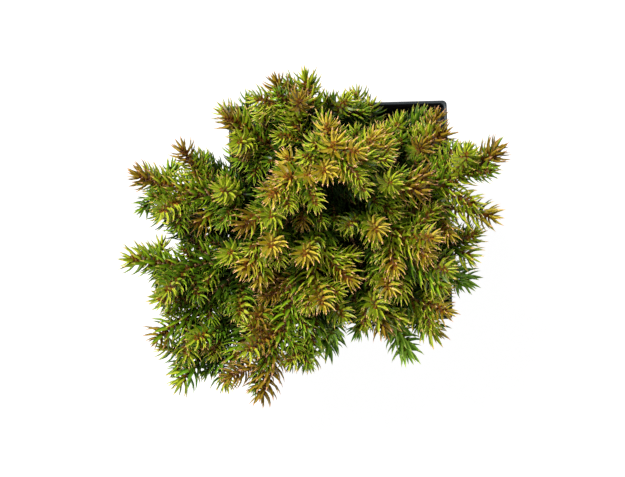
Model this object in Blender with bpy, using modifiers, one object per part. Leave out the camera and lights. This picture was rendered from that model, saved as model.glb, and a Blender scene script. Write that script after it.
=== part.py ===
"""A young cryptomeria in the square nursery pot that it is sold in.

Metres, +Z up. The origin is in the middle of the pot's flat underside. Seen from
above, +X is to the right and +Y to the far side, and azimuths turn from +X to +Y.
"""
import math
import random
from collections import namedtuple

import bmesh
import bpy
import numpy as np
from mathutils import Vector

UP = Vector((0.0, 0.0, 1.0))
GAP = 0.0003                    # clearance between neighbouring solids
WELD = 1e-6

# The pot: a tapered square shell with a stepped rim band and drain holes in its floor
POT_HEIGHT = 0.100
POT_WALL = 0.0013
POT_CORNER = 0.0018             # radius of the upright corners, at the rim
POT_CORNER_STEPS = 3            # flats that round each of those corners
RIM_HALF = 0.045                # half the outer width, at the rim
BAND_FOOT_HALF = 0.0442         # at the foot of the rim band
WALL_TOP_HALF = 0.0424          # at the top of the plain wall
FOOT_HALF = 0.031               # at the floor
BAND_FOOT = 0.087               # height at which the rim band begins
WALL_TOP = 0.0858               # height at which the plain wall ends
DRAIN_RADIUS = 0.004
DRAIN_REACH = 0.020             # from the pot's axis to a drain hole's
DRAIN_COUNT = 8
DRAIN_DEPTH = 0.008             # of the cutter that makes it

# The compost that fills it
SOIL_TOP = 0.080

# The trunk: it flares at its foot, leans and sways a little on its way up
TRUNK_TOP = 0.166
TRUNK_LEAN = Vector((-0.007, 0.014, 0.0))
TRUNK_SWAY = 0.0011
TRUNK_FOOT_RADIUS = 0.0030
TRUNK_TOP_RADIUS = 0.0012
FLARE = 0.0018
FLARE_HEIGHT = 0.0035
FLARE_SHARES = (0.0, 0.4, 0.95)  # of that height, where the flare has its points
TRUNK_POINTS = 14
TRUNK_SIDES = 10

# Limbs, from the lowest up: each leaves the trunk one step above the last. Azimuth, in
# degrees, and reach give the place of its furthest needle from the pot's axis, tip the
# height there, arch how far the limb rises above a straight line, sides the side shoots
# to try on it and turn the angle round it of the first. Sweep, where a row has one, is
# how far the limb bows out sideways, anticlockwise.
Limb = namedtuple("Limb", "azimuth reach tip arch sides turn sweep", defaults=(0.0,))
LOWEST_LIMB = 0.0865
LIMB_STEP = 0.00225
LOW_LIMBS = (
    Limb(263, 0.058, 0.095, 0.034, 4, 100),
    Limb(179, 0.077, 0.109, 0.024, 5, 350),
    Limb(330, 0.061, 0.099, 0.032, 4, 80),
    Limb(47, 0.054, 0.116, 0.018, 4, 120),
    Limb(204, 0.083, 0.106, 0.026, 5, 60),
    Limb(294, 0.066, 0.094, 0.038, 4, 128),
    Limb(225, 0.098, 0.107, 0.028, 6, 280),
)
MIDDLE_LIMBS = (
    Limb(73, 0.047, 0.128, 0.008, 4, 90),
    Limb(158, 0.063, 0.133, 0.008, 5, 350, 0.014),
    Limb(339, 0.058, 0.120, 0.014, 5, 250),
    Limb(232, 0.076, 0.123, 0.016, 5, 90),
    Limb(35, 0.054, 0.135, 0.008, 4, 80),
    Limb(288, 0.053, 0.123, 0.012, 4, 90),
    Limb(213, 0.092, 0.121, 0.018, 5, 270),
    Limb(95, 0.047, 0.136, 0.006, 4, 250),
    Limb(190, 0.088, 0.132, 0.012, 5, 350, 0.026),
    Limb(306, 0.064, 0.104, 0.028, 5, 350),
    Limb(256, 0.064, 0.122, 0.014, 4, 270),
    Limb(140, 0.060, 0.150, 0.004, 5, 350),
    Limb(20, 0.066, 0.152, 0.004, 5, 350, -0.016),
    Limb(245, 0.082, 0.132, 0.010, 6, 270),
    Limb(168, 0.083, 0.145, 0.006, 5, 350, 0.014),
)
TOP_LIMBS = (
    Limb(321, 0.052, 0.138, 0.008, 6, 60),
    Limb(356, 0.062, 0.132, 0.010, 6, 60),
    Limb(250, 0.042, 0.140, 0.004, 6, 60),
    Limb(330, 0.040, 0.150, 0.004, 6, 60),
    Limb(210, 0.047, 0.155, 0.004, 4, 90),
    Limb(59, 0.035, 0.162, 0.004, 4, 270),
    Limb(189, 0.042, 0.163, 0.004, 4, 90),
    Limb(10, 0.033, 0.166, 0.004, 4, 90),
    Limb(116, 0.057, 0.165, 0.004, 5, 270),
    Limb(104, 0.055, 0.160, 0.004, 4, 90),
    Limb(153, 0.027, 0.180, 0.004, 4, 90),
    Limb(60, 0.022, 0.183, 0.004, 4, 90),
)
LEADER = Limb(95, 0.025, 0.195, 0.002, 5, 90)

BOUGH_SHARE = 0.34              # share of a limb's course that is bare bough
BOUGH_POINTS = 5
BOUGH_SIDES = 6
BOUGH_TAPER = 0.006             # how much thicker a bough is at the trunk, for its length
STEM_RADIUS = 0.0009            # where a mass of foliage begins
TIP_RADIUS = 0.00045            # at the end of any shoot
STEM_POINTS = 4
TWIG_SIDES = 3

# Side shoots, set round a mass's stem by the golden angle
GOLDEN_ANGLE = math.radians(137.508)
SIDE_FROM = 0.10                # shares of the stem between which they leave it
SIDE_TO = 0.78
SIDE_SHARE = 0.46               # the longest one's length, as a share of the stem's
SIDE_SHORTEST = 0.010
SIDE_LONGEST = 0.024
SIDE_ANGLE = math.radians(52)
SIDE_LIFT = 0.45                # how far a side shoot turns up along its length
SIDE_RADIUS = 0.000675          # where it leaves the stem
SIDE_TAPER = 0.35               # how much shorter the last side shoot is than the first
SIDE_SPREAD = (0.88, 1.08)      # range of its length, by chance
SIDE_TWIST = 0.2                # and of its angle round the stem, in radians
SIDE_TRIES = (1.0, 0.8, 0.62)   # shares of its length that a crowded shoot is tried at
SHOOT_GAP = 0.0052              # between shoots of two masses
OWN_GAP = 0.0040                # between shoots of one mass
WOOD_GAP = 0.0030               # from a shoot to the trunk, a bough or the pot
GAP_SHARES = (0.3, 0.65, 1.0)   # of each stretch of a shoot, where those are tested
SEED = 12

# Needles: keeled awls, fewer and larger than life
NEEDLE_LENGTH = 0.0120
NEEDLE_SPREAD = (0.93, 1.05)    # range of its length, by chance
NEEDLE_SHRINK = 0.18            # how much shorter the last one on a shoot is
NEEDLE_KEEL = 0.00155           # half its depth, from keel to back
NEEDLE_HALF = 0.00165           # half its width
NEEDLE_WIDEST = 0.32            # share of its length at which it is widest
NEEDLE_BEND = 0.0011            # how far it bows away from the shoot
NEEDLE_SIDES = 3                # of its section: the keel and the two edges
NEEDLE_SHARES = (0.2, 0.32, 0.5, 0.68, 0.84, 1.0)   # of its length, where it is tested
NEEDLE_STEP = 0.0040            # along the shoot from one needle to the next
NEEDLE_FIRST = 0.15             # share of that step from the shoot's end to the first
NEEDLE_SUNK = 0.6               # share of the shoot's radius that its foot is sunk by
NEEDLE_OPEN = math.radians(58)  # angle to the shoot at its foot
NEEDLE_SHUT = math.radians(20)  # angle to the shoot at its end
NEEDLES_SHUT = 2.5              # needles over which the one becomes the other
TUFT = 0.0060                   # how far the last needles stand past the shoot's end
SPACE_MARGIN = 0.0002           # to the middle between two masses
LIMB_MARGIN = 0.0005            # to a limb's surface, or the pot's

FOLIAGE_COLOURS = {
    "low": (0.075, 0.150, 0.020),
    "middle": (0.150, 0.190, 0.022),
    "top": (0.240, 0.200, 0.035),
}
POT_COLOUR = (0.012, 0.014, 0.016)
SOIL_COLOUR = (0.020, 0.014, 0.010)
BARK_COLOUR = (0.130, 0.060, 0.026)

# A shoot is a path with a radius at each point, and belongs to the mass that it names
Shoot = namedtuple("Shoot", "mass path radii")


def clear_scene():
    """Empties the scene."""
    for thing in list(bpy.data.objects):
        bpy.data.objects.remove(thing, do_unlink=True)


def new_collection(name):
    """A collection in the scene."""
    collection = bpy.data.collections.new(name)
    bpy.context.scene.collection.children.link(collection)
    return collection


def new_material(name, colour, roughness):
    """A plain Principled material."""
    material = bpy.data.materials.new(name)
    material.use_nodes = True
    shader = material.node_tree.nodes["Principled BSDF"]
    shader.inputs["Base Color"].default_value = (*colour, 1.0)
    shader.inputs["Roughness"].default_value = roughness
    shader.inputs["Metallic"].default_value = 0.0
    return material


def mesh_object(name, bm, collection):
    """An object from a bmesh, which is freed."""
    mesh = bpy.data.meshes.new(name)
    bm.to_mesh(mesh)
    bm.free()
    thing = bpy.data.objects.new(name, mesh)
    collection.objects.link(thing)
    return thing


def drop_scraps(bm):
    """Leaves only the largest body of a mesh."""
    bodies = []
    waiting = set(bm.faces)
    while waiting:
        front = [waiting.pop()]
        body = []
        while front:
            face = front.pop()
            body.append(face)
            for edge in face.edges:
                for neighbour in edge.link_faces:
                    if neighbour in waiting:
                        waiting.remove(neighbour)
                        front.append(neighbour)
        bodies.append(body)
    bodies.sort(key=len)
    for body in bodies[:-1]:
        bmesh.ops.delete(bm, geom=body, context="FACES")


def baked(thing):
    """A mesh object in place of one with modifiers, or of a curve, whose caps are welded."""
    name = thing.name
    was_curve = thing.type == "CURVE"
    thing.name = name + "_source"
    bpy.context.view_layer.update()
    graph = bpy.context.evaluated_depsgraph_get()
    mesh = bpy.data.meshes.new_from_object(thing.evaluated_get(graph))
    mesh.name = name
    bm = bmesh.new()
    bm.from_mesh(mesh)
    if was_curve:
        bmesh.ops.remove_doubles(bm, verts=bm.verts, dist=WELD)
    drop_scraps(bm)
    bm.to_mesh(mesh)
    bm.free()
    result = bpy.data.objects.new(name, mesh)
    result.matrix_world = thing.matrix_world
    for collection in thing.users_collection:
        collection.objects.link(result)
    bpy.data.objects.remove(thing, do_unlink=True)
    return result


def make_profile(sides, collection):
    """A regular outline of one metre's radius, which tubes are drawn along."""
    curve = bpy.data.curves.new(f"profile_{sides}", "CURVE")
    spline = curve.splines.new("POLY")
    spline.points.add(sides - 1)
    spline.use_cyclic_u = True
    for number, point in enumerate(spline.points):
        turn = -number * 2 * math.pi / sides
        point.co = (math.cos(turn), math.sin(turn), 0.0, 1.0)
    profile = bpy.data.objects.new(curve.name, curve)
    collection.objects.link(profile)
    return profile


def tube(name, path, radii, profile, collection):
    """A tapering limb along a path, as a welded mesh."""
    curve = bpy.data.curves.new(name, "CURVE")
    curve.dimensions = "3D"
    curve.bevel_mode = "OBJECT"
    curve.bevel_object = profile
    curve.use_fill_caps = True
    spline = curve.splines.new("POLY")
    spline.points.add(len(path) - 1)
    for point, place, radius in zip(spline.points, path, radii):
        point.co = (*place, 1.0)
        point.radius = radius
    thing = bpy.data.objects.new(name, curve)
    collection.objects.link(thing)
    return baked(thing)


def subtract(thing, cutter):
    """Cuts one object clear of another."""
    modifier = thing.modifiers.new("clear", "BOOLEAN")
    modifier.operation = "DIFFERENCE"
    modifier.object = cutter
    modifier.solver = "EXACT"


def fused(name, pieces, collection):
    """One solid from pieces that overlap, by one union on a collection."""
    first, others = pieces[0], pieces[1:]
    joining = new_collection("joining")
    for piece in others:
        collection.objects.unlink(piece)
        joining.objects.link(piece)
    modifier = first.modifiers.new("union", "BOOLEAN")
    modifier.operation = "UNION"
    modifier.operand_type = "COLLECTION"
    modifier.collection = joining
    modifier.solver = "EXACT"
    first.name = name
    result = baked(first)
    for piece in list(joining.objects):
        bpy.data.objects.remove(piece, do_unlink=True)
    bpy.data.collections.remove(joining)
    return result


def pot_half(height):
    """Half the pot's outer width at a height."""
    heights = (0.0, WALL_TOP, BAND_FOOT, POT_HEIGHT)
    halves = (FOOT_HALF, WALL_TOP_HALF, BAND_FOOT_HALF, RIM_HALF)
    return float(np.interp(height, heights, halves))


def tapered_box(bottom, top, inset):
    """A block with rounded upright corners that follows the pot's sides, inset from them."""
    bm = bmesh.new()
    bmesh.ops.create_cube(bm, size=1.0)
    half = RIM_HALF - inset
    for vert in bm.verts:
        vert.co.x *= 2 * half
        vert.co.y *= 2 * half
        vert.co.z = top if vert.co.z > 0 else bottom
    uprights = []
    for edge in bm.edges:
        if edge.verts[0].co.z != edge.verts[1].co.z:
            uprights.append(edge)
    bmesh.ops.bevel(bm, geom=uprights, offset=POT_CORNER - inset, segments=POT_CORNER_STEPS,
                    profile=0.5, affect="EDGES")
    for level in (WALL_TOP, BAND_FOOT):
        if bottom < level < top:
            geometry = bm.verts[:] + bm.edges[:] + bm.faces[:]
            bmesh.ops.bisect_plane(bm, geom=geometry, plane_co=(0, 0, level), plane_no=UP)
    for vert in bm.verts:
        share = (pot_half(vert.co.z) - inset) / half
        vert.co.x *= share
        vert.co.y *= share
    return bm


def make_pot(parts, cutters):
    """The shell, open at the top, with a ring of drain holes in its floor."""
    bm = tapered_box(0.0, POT_HEIGHT, 0.0)
    lids = []
    for face in bm.faces:
        if face.normal.z > 0.9:
            lids.append(face)
    bmesh.ops.delete(bm, geom=lids, context="FACES_ONLY")
    pot = mesh_object("pot", bm, parts)
    shell = pot.modifiers.new("wall", "SOLIDIFY")
    shell.thickness = POT_WALL
    shell.offset = -1.0
    shell.use_even_offset = True
    for number in range(DRAIN_COUNT):
        turn = (number + 0.5) * 2 * math.pi / DRAIN_COUNT
        bm = bmesh.new()
        bmesh.ops.create_cone(bm, cap_ends=True, segments=12, radius1=DRAIN_RADIUS,
                              radius2=DRAIN_RADIUS, depth=DRAIN_DEPTH)
        drain = mesh_object(f"drain_{number + 1}", bm, cutters)
        drain.location = (DRAIN_REACH * math.cos(turn), DRAIN_REACH * math.sin(turn), 0.0)
        subtract(pot, drain)
    return pot


def make_soil(parts):
    """The compost: a block that fills the pot up to the trunk's foot."""
    clear = POT_WALL + GAP
    return mesh_object("soil", tapered_box(clear, SOIL_TOP, clear), parts)


def trunk_axis(height):
    """The middle of the trunk at a height: upright at its foot, then leaning and swaying."""
    foot = SOIL_TOP + FLARE_HEIGHT
    share = max(0.0, (height - foot) / (TRUNK_TOP - foot))
    sway = Vector((math.sin(2 * math.pi * share), 1 - math.cos(2 * math.pi * share), 0.0))
    return TRUNK_LEAN * share + sway * TRUNK_SWAY + UP * height


def trunk_radius(height):
    """The trunk's radius at a height: an even taper, and the flare at its foot."""
    taper = np.interp(height, (SOIL_TOP, TRUNK_TOP), (TRUNK_FOOT_RADIUS, TRUNK_TOP_RADIUS))
    return float(taper) + FLARE * math.exp((SOIL_TOP - height) / FLARE_HEIGHT)


def trunk_heights():
    """Heights of the trunk's points, close together at its flare."""
    ground = SOIL_TOP + GAP
    flare = [ground + share * FLARE_HEIGHT for share in FLARE_SHARES]
    rest = np.linspace(ground + 2 * FLARE_HEIGHT, TRUNK_TOP, TRUNK_POINTS - len(flare))
    return flare + [float(height) for height in rest]


def make_trunk(name, swelling, profile, collection):
    """The trunk from its flat cut on the soil to its tip, swollen by a clearance."""
    heights = trunk_heights()
    if swelling:
        heights[0] -= swelling
        heights[-1] += swelling
    path = [trunk_axis(height) for height in heights]
    radii = [trunk_radius(height) + swelling for height in heights]
    return tube(name, path, radii, profile, collection)


def limb_course(start, limb, points):
    """Points of a limb from where it starts to the end of its last shoot."""
    turn = math.radians(limb.azimuth)
    tip = Vector((limb.reach * math.cos(turn), limb.reach * math.sin(turn), limb.tip))
    aside = UP.cross(tip - start).normalized()
    control = (start + tip) / 2 + UP * limb.arch + aside * limb.sweep
    end = tip - (tip - control).normalized() * TUFT
    course = []
    for share in points:
        rest = 1 - share
        course.append(start * rest ** 2 + control * (2 * rest * share) + end * share ** 2)
    return course


def course_length(path):
    """Length of a path."""
    return sum((end - start).length for start, end in zip(path, path[1:]))


def segments(shoots):
    """Starts, ends and radii of all the straight stretches of some shoots."""
    starts, ends, radii = [], [], []
    for shoot in shoots:
        for index in range(len(shoot.path) - 1):
            starts.append(shoot.path[index])
            ends.append(shoot.path[index + 1])
            radii.append(max(shoot.radii[index], shoot.radii[index + 1]))
    return np.array(starts), np.array(ends), np.array(radii)


def distances(points, stretches):
    """From each point to the surface of the nearest of some straight stretches."""
    if not len(stretches[2]):
        return np.full(len(points), 1.0)
    starts, ends, radii = stretches
    along = ends - starts
    points = np.array(points)[:, None, :]
    share = ((points - starts) * along).sum(-1) / (along * along).sum(-1)
    foot = starts + np.clip(share, 0.0, 1.0)[..., None] * along
    return (np.linalg.norm(points - foot, axis=-1) - radii).min(axis=1)


def pot_distance(point):
    """How far a point is clear of the pot's wall and the soil, below zero inside them."""
    out = max(abs(point[0]), abs(point[1]))
    half = pot_half(min(point[2], POT_HEIGHT))
    above = point[2] - POT_HEIGHT
    beside = max(out - half, half - POT_WALL - out)
    if out < half:
        return min(max(above, beside), point[2] - SOIL_TOP)
    return max(above, beside)


def side_shoot(stem, share, turn, length):
    """The path of a side shoot: out from the stem at an angle, then turning up."""
    place = share * (len(stem.path) - 1)
    index = min(int(place), len(stem.path) - 2)
    start, end = stem.path[index], stem.path[index + 1]
    foot = start.lerp(end, place - index)
    tangent = (end - start).normalized()
    left = UP.cross(tangent).normalized()
    rise = tangent.cross(left)
    outward = rise * math.cos(turn) + left * math.sin(turn)
    leaving = tangent * math.cos(SIDE_ANGLE) + outward * math.sin(SIDE_ANGLE)
    bent = (leaving + UP * SIDE_LIFT).normalized()
    middle = foot + leaving * (length / 2)
    return [foot, middle, middle + bent * (length / 2)]


def has_room(path, mass, shoots, wood):
    """Whether a side shoot keeps clear of the other shoots, the wood and the pot."""
    samples = []
    for start, end in zip(path, path[1:]):
        samples += [start.lerp(end, share) for share in GAP_SHARES]
    outer = samples[1:]
    tuft = path[-1] + (path[-1] - path[-2]).normalized() * TUFT
    strangers = segments([shoot for shoot in shoots if shoot.mass != mass])
    family = segments([shoot for shoot in shoots if shoot.mass == mass][1:])
    if distances(samples + [tuft], strangers).min() < SHOOT_GAP:
        return False
    if distances(outer, family).min() < OWN_GAP:
        return False
    if distances(outer + [tuft], wood).min() < WOOD_GAP:
        return False
    return min(pot_distance(point) for point in outer + [tuft]) > WOOD_GAP


def grow_side_shoots(stem, limb, shoots, wood, chance):
    """Adds a stem's side shoots to the shoots, where they have room."""
    stem_length = course_length(stem.path)
    longest = min(max(SIDE_SHARE * stem_length, SIDE_SHORTEST), SIDE_LONGEST)
    for number in range(limb.sides):
        along = number / max(1, limb.sides - 1)
        share = SIDE_FROM + (SIDE_TO - SIDE_FROM) * along
        twist = chance.uniform(-SIDE_TWIST, SIDE_TWIST)
        turn = math.radians(limb.turn) + number * GOLDEN_ANGLE + twist
        length = longest * (1 - SIDE_TAPER * along) * chance.uniform(*SIDE_SPREAD)
        for attempt in SIDE_TRIES:
            path = side_shoot(stem, share, turn, max(SIDE_SHORTEST, length * attempt))
            if has_room(path, stem.mass, shoots, wood):
                radii = np.linspace(SIDE_RADIUS, TIP_RADIUS, len(path))
                shoots.append(Shoot(stem.mass, path, list(radii)))
                break


def needle_places(shoot, chance):
    """Foot, direction, side and length of each needle of a shoot, from its end down."""
    length = course_length(shoot.path)
    count = int(length / NEEDLE_STEP - 2 * NEEDLE_FIRST)
    turn = chance.uniform(0.0, 2 * math.pi)
    stretches = list(zip(shoot.path, shoot.path[1:], shoot.radii))[::-1]
    places = []
    for number in range(count + 1):
        left_over = (number + NEEDLE_FIRST) * NEEDLE_STEP
        openness = min(1.0, number / NEEDLES_SHUT)
        for start, end, radius in stretches:
            stretch = (end - start).length
            if left_over <= stretch:
                break
            left_over -= stretch
        tangent = (end - start).normalized()
        across = tangent.orthogonal().normalized()
        other = tangent.cross(across)
        outward = across * math.cos(turn) + other * math.sin(turn)
        angle = NEEDLE_SHUT + (NEEDLE_OPEN - NEEDLE_SHUT) * openness
        away = tangent * math.cos(angle) + outward * math.sin(angle)
        foot = end - tangent * left_over - away * (NEEDLE_SUNK * radius)
        size = NEEDLE_LENGTH * (1 - NEEDLE_SHRINK * (1 - openness))
        size *= chance.uniform(*NEEDLE_SPREAD)
        places.append((foot, away, tangent.cross(outward), size))
        turn += GOLDEN_ANGLE
    return places


def needle_outline(foot, away, side, length):
    """Points down the middle of a needle, with its half thickness at each."""
    back = side.cross(away)
    outline = []
    for share in NEEDLE_SHARES:
        rise = min(share / NEEDLE_WIDEST, (1 - share) / (1 - NEEDLE_WIDEST))
        middle = foot + away * (length * share) + back * (NEEDLE_BEND * rise)
        outline.append((middle, NEEDLE_KEEL * rise))
    return outline


def needle_fits(place, own, others, wood):
    """Whether a needle stays in its mass's space and clear of the wood and the pot."""
    outline = needle_outline(*place)
    points = [point for point, thickness in outline]
    thick = np.array([thickness for point, thickness in outline])
    to_middle = (distances(points, others) - distances(points, own)) / 2
    if (to_middle < thick + SPACE_MARGIN).any():
        return False
    if (distances(points, wood) < thick + LIMB_MARGIN).any():
        return False
    to_pot = np.array([pot_distance(point) for point in points])
    return not (to_pot < thick + LIMB_MARGIN).any()


def make_needle(place, collection):
    """One needle: a keeled awl of eight faces."""
    foot, away, side, length = place
    back = side.cross(away)
    bm = bmesh.new()
    bmesh.ops.create_uvsphere(bm, u_segments=NEEDLE_SIDES, v_segments=2, radius=1.0)
    for vert in bm.verts:
        x, y, z = vert.co
        along = NEEDLE_WIDEST if abs(z) < 0.5 else (1.0 if z > 0 else 0.0)
        depth = NEEDLE_BEND * (1 - abs(z)) - y * NEEDLE_KEEL
        vert.co = foot + away * (length * along) + side * (x * NEEDLE_HALF) + back * depth
    return mesh_object("needle", bm, collection)


def make_mass(name, shoots, places, cutter, profile, parts):
    """One mass of foliage: its stem, side shoots and needles in one solid."""
    pieces = []
    for shoot in shoots:
        pieces.append(tube(name, shoot.path, shoot.radii, profile, parts))
    if cutter:
        subtract(pieces[0], cutter)
        pieces[0] = baked(pieces[0])
    for place in places:
        pieces.append(make_needle(place, parts))
    return fused(name, pieces, parts)


def lay_out_limbs():
    """Each limb's name, row and tier, and where it leaves the trunk."""
    laid = []
    height = LOWEST_LIMB
    for tier, limbs in (("low", LOW_LIMBS), ("middle", MIDDLE_LIMBS), ("top", TOP_LIMBS)):
        for number, limb in enumerate(limbs, start=1):
            laid.append((f"{tier}_{number}", tier, limb, trunk_axis(height)))
            height += LIMB_STEP
    return laid


def grow():
    """Boughs, shoots and needles of the whole crown, by name of their mass."""
    boughs, stems = {}, {}
    for name, tier, limb, start in lay_out_limbs():
        if tier == "top":
            path = limb_course(start, limb, np.linspace(0.0, 1.0, STEM_POINTS + 1))
            stems[name] = (limb, path)
            continue
        path = limb_course(start, limb, np.linspace(0.0, BOUGH_SHARE, BOUGH_POINTS))
        root = STEM_RADIUS + BOUGH_TAPER * limb.reach
        boughs[name] = Shoot(name, path, list(np.linspace(root, STEM_RADIUS, BOUGH_POINTS)))
        path = limb_course(start, limb, np.linspace(BOUGH_SHARE, 1.0, STEM_POINTS))
        path[0] = path[0] + (path[1] - path[0]).normalized() * GAP
        stems[name] = (limb, path)
    top = trunk_axis(TRUNK_TOP)
    path = limb_course(top, LEADER, np.linspace(0.0, 1.0, STEM_POINTS + 1))
    path[0] = top + (path[1] - top).normalized() * GAP
    stems["leader"] = (LEADER, path)

    heights = trunk_heights()
    trunk = Shoot("trunk", [trunk_axis(height) for height in heights],
                  [trunk_radius(height) for height in heights])
    wood = segments([trunk] + list(boughs.values()))
    shoots = []
    for name, (limb, path) in stems.items():
        radii = list(np.linspace(STEM_RADIUS, TIP_RADIUS, len(path)))
        shoots.append(Shoot(name, path, radii))
    for number, stem in enumerate(shoots[:]):
        chance = random.Random(SEED + number)
        grow_side_shoots(stem, stems[stem.mass][0], shoots, wood, chance)
    needles = {}
    for number, name in enumerate(stems):
        chance = random.Random(SEED + len(stems) + number)
        family = [shoot for shoot in shoots if shoot.mass == name]
        own = segments(family)
        others = segments([shoot for shoot in shoots if shoot.mass != name])
        needles[name] = []
        for shoot in family:
            for place in needle_places(shoot, chance):
                if needle_fits(place, own, others, wood):
                    needles[name].append(place)
    return boughs, shoots, needles


def main():
    """Builds the potted plant."""
    clear_scene()
    parts = new_collection("cryptomeria")
    cutters = new_collection("cutters")
    plastic = new_material("pot", POT_COLOUR, 0.45)
    compost = new_material("soil", SOIL_COLOUR, 0.95)
    bark = new_material("bark", BARK_COLOUR, 0.8)
    greens = {}
    for tier, colour in FOLIAGE_COLOURS.items():
        greens[tier] = new_material("foliage_" + tier, colour, 0.5)

    make_pot(parts, cutters).data.materials.append(plastic)
    make_soil(parts).data.materials.append(compost)
    round_profile = make_profile(TRUNK_SIDES, cutters)
    make_trunk("trunk", 0.0, round_profile, parts).data.materials.append(bark)
    swollen = make_trunk("trunk_clearance", GAP, round_profile, cutters)

    boughs, shoots, needles = grow()
    bough_profile = make_profile(BOUGH_SIDES, cutters)
    twig_profile = make_profile(TWIG_SIDES, cutters)
    for name, bough in boughs.items():
        limb = tube("bough_" + name, bough.path, bough.radii, bough_profile, parts)
        limb.data.materials.append(bark)
        subtract(limb, swollen)
    for name, places in needles.items():
        family = [shoot for shoot in shoots if shoot.mass == name]
        cutter = swollen if name.startswith("top") else None
        mass = make_mass("foliage_" + name, family, places, cutter, twig_profile, parts)
        mass.data.materials.clear()
        tier = "top" if name == "leader" else name.split("_")[0]
        mass.data.materials.append(greens[tier])
    for cutter in cutters.objects:
        cutter.hide_render = True
        cutter.display_type = "WIRE"


main()
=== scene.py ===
"""The looks of a young cryptomeria in its square nursery pot, seen from straight above.

Metres, +Z up, the origin in the middle of the pot's flat underside. Limbs, shoots and
needles grow by the same rule as the solids that they replace, carried to finer shoots.
"""
import math
import random
from collections import namedtuple

import bmesh
import bpy
import numpy as np
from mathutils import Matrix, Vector, noise


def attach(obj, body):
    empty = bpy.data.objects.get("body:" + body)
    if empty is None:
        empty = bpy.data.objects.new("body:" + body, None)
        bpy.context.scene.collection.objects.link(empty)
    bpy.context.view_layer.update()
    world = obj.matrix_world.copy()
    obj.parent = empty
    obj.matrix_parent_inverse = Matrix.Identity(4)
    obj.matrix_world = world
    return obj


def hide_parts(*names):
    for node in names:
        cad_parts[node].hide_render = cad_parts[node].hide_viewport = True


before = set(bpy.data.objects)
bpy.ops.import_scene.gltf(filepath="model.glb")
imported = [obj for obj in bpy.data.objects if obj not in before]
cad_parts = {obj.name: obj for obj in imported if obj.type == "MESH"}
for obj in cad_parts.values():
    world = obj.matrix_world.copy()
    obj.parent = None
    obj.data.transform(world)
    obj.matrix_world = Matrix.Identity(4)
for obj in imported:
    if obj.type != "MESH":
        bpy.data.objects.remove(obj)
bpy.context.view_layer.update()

BODY = "root"
UP = Vector((0.0, 0.0, 1.0))
GAP = 0.0003  # between neighbouring solids

# The pot and its compost
POT_HEIGHT = 0.100
POT_WALL = 0.0013
POT_CORNER = 0.0018  # radius of its upright corners, outside
INNER_CORNER = 0.0006
CORNER_STEPS = 5
RIM_HALF = 0.045  # half the outer width, at the rim
BAND_FOOT_HALF = 0.0442  # at the foot of the rim band
WALL_TOP_HALF = 0.0424  # at the top of the plain wall
FOOT_HALF = 0.031  # at the floor
BAND_FOOT = 0.087  # height at which the rim band begins
WALL_TOP = 0.0858  # height at which the plain wall ends
FOOT_ROUND = 0.0012  # radius of the edge round its foot
WALL_FROM = 0.012  # height of the next ring
LIP_OUTSIDE = 0.0005  # from the top down to the rolled lip, outside
LIP_INSIDE = 0.0010  # and inside
LIP_FROM = 0.2  # share of its half turn where its rings begin
FLOOR_BEVEL = 0.0006  # between wall and floor, inside
ROUND_RINGS = 4  # in each rounded edge
BAND_RINGS = 4
WALL_RINGS = 8
DRAIN_RADIUS = 0.004
DRAIN_REACH = 0.020  # from the pot's axis to a drain hole's
DRAIN_COUNT = 8
DRAIN_SIDES = 24
DRAIN_DEPTH = 0.008  # of its cutter
POT_EDGE = math.radians(35)  # angle from which an edge stays sharp
SOIL_TOP = 0.080
SOIL_CELLS = 90  # along each side of its top
SOIL_SINK = 0.0004  # of its lumpy top, on average
SOIL_LUMPS = ((90, 0.0012), (300, 0.0007), (900, 0.0004))  # how close and how high
CRUMBS = 1500
CRUMB_SIZES = (0.0005, 0.0016)  # least and greatest radius
CRUMB_STRETCH = (0.6, 1.6)
CRUMB_DENTS = 0.25
CRUMB_LIFT = 0.0001  # of its middle above the compost
CRUMB_CLEAR = 0.006  # from the trunk's axis

# The trunk
TRUNK_TOP = 0.166
TRUNK_LEAN = Vector((-0.007, 0.014, 0.0))
TRUNK_SWAY = 0.0011
TRUNK_FOOT_RADIUS = 0.0030
TRUNK_TOP_RADIUS = 0.0012
FLARE = 0.0018
FLARE_HEIGHT = 0.0035
FLARE_SHARES = (0.0, 0.4, 0.95)
TRUNK_POINTS = 14
TRUNK_SINK = 0.0004  # of its bark into the compost

# Bark: ridges along the wood, by noise
BARK_ROUND = 2.2  # how close together they are round a limb
BARK_UP = 140  # along it, by height
BARK_ALONG = 90  # and along it, by distance in x
BARK_FINER = 2.7  # how much closer its fine ridges are
BARK_FINE_SHARE = 0.4  # and how deep, for the others
TRUNK_RELIEF = 0.13  # depth of the ridges, for the radius
BOUGH_RELIEF = 0.10
TRUNK_SIDES = 28
BOUGH_SIDES = 14
TWIG_SIDES = 6
FLARE_RINGS = 22
TRUNK_RINGS = 90
BOUGH_RINGS = 26
ROUGH_EDGE = math.radians(60)  # as POT_EDGE, on wood and compost

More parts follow.
